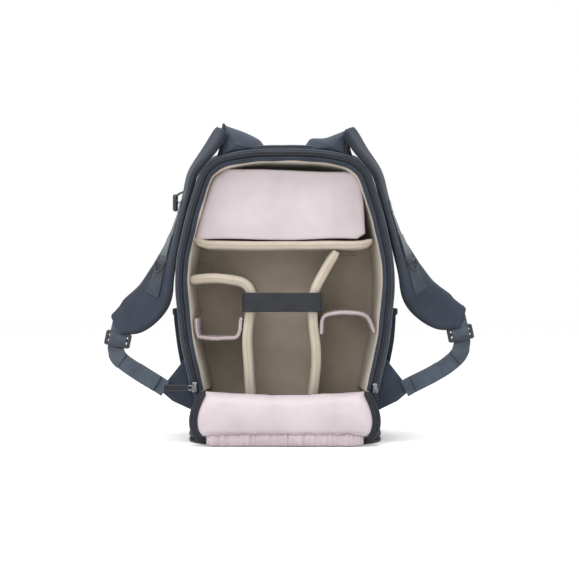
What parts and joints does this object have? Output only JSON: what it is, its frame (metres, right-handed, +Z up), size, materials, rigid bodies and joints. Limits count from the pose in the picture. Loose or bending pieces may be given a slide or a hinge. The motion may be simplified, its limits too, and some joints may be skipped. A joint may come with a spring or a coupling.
{
  "type": "camera backpack",
  "caption": "Rear-access camera backpack with its back panel unzipped and tucked under, padded dividers inside and spread shoulder straps.",
  "frame": {"origin": "centre of the bag, on the flat face that rests on the floor (the lining side of the tucked back panel)", "axes": "+Z up; the opening and the harness side face -Y, the front pocket faces +Y, and +X is to the right as the opening is looked into"},
  "size_m": [0.5518, 0.2925, 0.4685],
  "materials": {
    "navy_fabric": "matte woven nylon",
    "dark_tape": "dark woven zip tape",
    "beige_lining": "soft brushed loop lining",
    "pink_lining": "satin-like smooth lining",
    "slate_webbing": "ribbed webbing with a slight sheen",
    "back_mesh": "open spacer mesh",
    "black_plastic": "moulded, satin",
    "zip_metal": "dull dark nickel",
    "foot_rubber": "matte"
  },
  "bodies": {
    "bag": {"side_wall_left": "navy_fabric", "side_wall_right": "navy_fabric", "top_wall": "navy_fabric", "base_wall": "navy_fabric", "front_panel": "navy_fabric", "front_pocket": "navy_fabric", "bottom_skirt": "navy_fabric", "rim_zip_tape": "dark_tape", "rim_piping": "slate_webbing", "door_hinge_roll": "pink_lining", "lining_sides": "beige_lining", "lining_floor": "beige_lining", "lining_deep_wall": "beige_lining", "shelf": "beige_lining", "divider_left": "beige_lining", "divider_right": "beige_lining", "lens_strap_anchor": "dark_tape", "front_zip": "dark_tape", "wing_left": "navy_fabric", "wing_right": "navy_fabric", "strap_root_left": "navy_fabric", "strap_root_right": "navy_fabric", "shoulder_left": "navy_fabric", "shoulder_right": "navy_fabric", "side_pocket_left": "navy_fabric", "side_pocket_right": "navy_fabric", "side_clip": "black_plastic", "foot_left": "foot_rubber", "foot_right": "foot_rubber"},
    "door_lower": {"door_lower_board": "navy_fabric", "door_lower_lining": "pink_lining", "door_lower_tape_left": "dark_tape", "door_lower_tape_right": "dark_tape", "door_fold_roll": "pink_lining"},
    "door_upper": {"door_board": "navy_fabric", "door_pocket": "pink_lining", "door_lining": "pink_lining", "door_tape": "dark_tape", "back_pad_left": "back_mesh", "back_pad_right": "back_mesh"},
    "flap": {"upper_flap": "pink_lining"},
    "small_divider_l": {"small_divider_left": "pink_lining"},
    "small_divider_r": {"small_divider_right": "pink_lining"},
    "lens_band": {"lens_strap": "dark_tape"},
    "slider_l": {"zip_slider_left": "zip_metal"},
    "slider_r": {"zip_slider_right": "zip_metal"},
    "pull_l": {"zip_pull_left": "dark_tape"},
    "pull_r": {"zip_pull_right": "dark_tape"},
    "front_zip_slider": {"front_slider": "zip_metal"},
    "strap_l": {"strap_pad_left": "navy_fabric", "strap_webbing_left": "slate_webbing", "d_ring_left": "black_plastic", "ladder_buckle_left": "black_plastic", "lower_webbing_left": "slate_webbing"},
    "strap_r": {"strap_pad_right": "navy_fabric", "strap_webbing_right": "slate_webbing", "d_ring_right": "black_plastic", "ladder_buckle_right": "black_plastic", "lower_webbing_right": "slate_webbing"},
    "handle": {"grab_handle": "slate_webbing"}
  },
  "joints": [
    {"name": "door_hinge", "type": "hinge", "parent": "bag", "child": "door_lower", "pos_m": [0, -0.1, 0.072], "axis": [-1, 0, 0], "range_deg": [0, 165]},
    {"name": "door_fold", "type": "hinge", "parent": "door_lower", "child": "door_upper", "pos_m": [0, -0.11688, 0.009], "axis": [-1, 0, 0], "range_deg": [0, 105]},
    {"name": "flap_hinge", "type": "hinge", "parent": "bag", "child": "flap", "pos_m": [0, -0.066, 0.3], "axis": [-1, 0, 0], "range_deg": [-80, 0]},
    {"name": "small_divider_left_out", "type": "slide", "parent": "bag", "child": "small_divider_l", "axis": [0, 1, 0], "range_m": [-0.1, 0]},
    {"name": "small_divider_right_out", "type": "slide", "parent": "bag", "child": "small_divider_r", "axis": [0, 1, 0], "range_m": [-0.1, 0]},
    {"name": "lens_band_swing", "type": "hinge", "parent": "bag", "child": "lens_band", "pos_m": [-0.062, -0.07075, 0.207], "axis": [0, 0, 1], "range_deg": [-100, 0]},
    {"name": "zip_left_run", "type": "slide", "parent": "bag", "child": "slider_l", "axis": [-0.215, 0, 0.9766], "range_m": [0, 0.06]},
    {"name": "zip_right_run", "type": "slide", "parent": "bag", "child": "slider_r", "axis": [0.215, 0, 0.9766], "range_m": [0, 0.06]},
    {"name": "pull_left_turn", "type": "hinge", "parent": "slider_l", "child": "pull_l", "pos_m": [-0.1313, -0.0968, 0.0835], "axis": [0, 1, 0], "range_deg": [-80, 0]},
    {"name": "pull_right_turn", "type": "hinge", "parent": "slider_r", "child": "pull_r", "pos_m": [0.1309, -0.0968, 0.0815], "axis": [0, 1, 0], "range_deg": [-90, 0]},
    {"name": "front_zip_run", "type": "slide", "parent": "bag", "child": "front_zip_slider", "axis": [1, 0, 0], "range_m": [0, 0.13]},
    {"name": "strap_left_swing", "type": "hinge", "parent": "bag", "child": "strap_l", "pos_m": [-0.1, -0.095, 0.45], "axis": [0.2154, -0.0259, 0.9762], "range_deg": [0, 60]},
    {"name": "strap_right_swing", "type": "hinge", "parent": "bag", "child": "strap_r", "pos_m": [0.1, -0.095, 0.45], "axis": [0.2154, 0.0259, -0.9762], "range_deg": [0, 60]},
    {"name": "handle_lift", "type": "hinge", "parent": "bag", "child": "handle", "pos_m": [0, -0.034, 0.431], "axis": [1, 0, 0], "range_deg": [0, 90]}
  ]
}
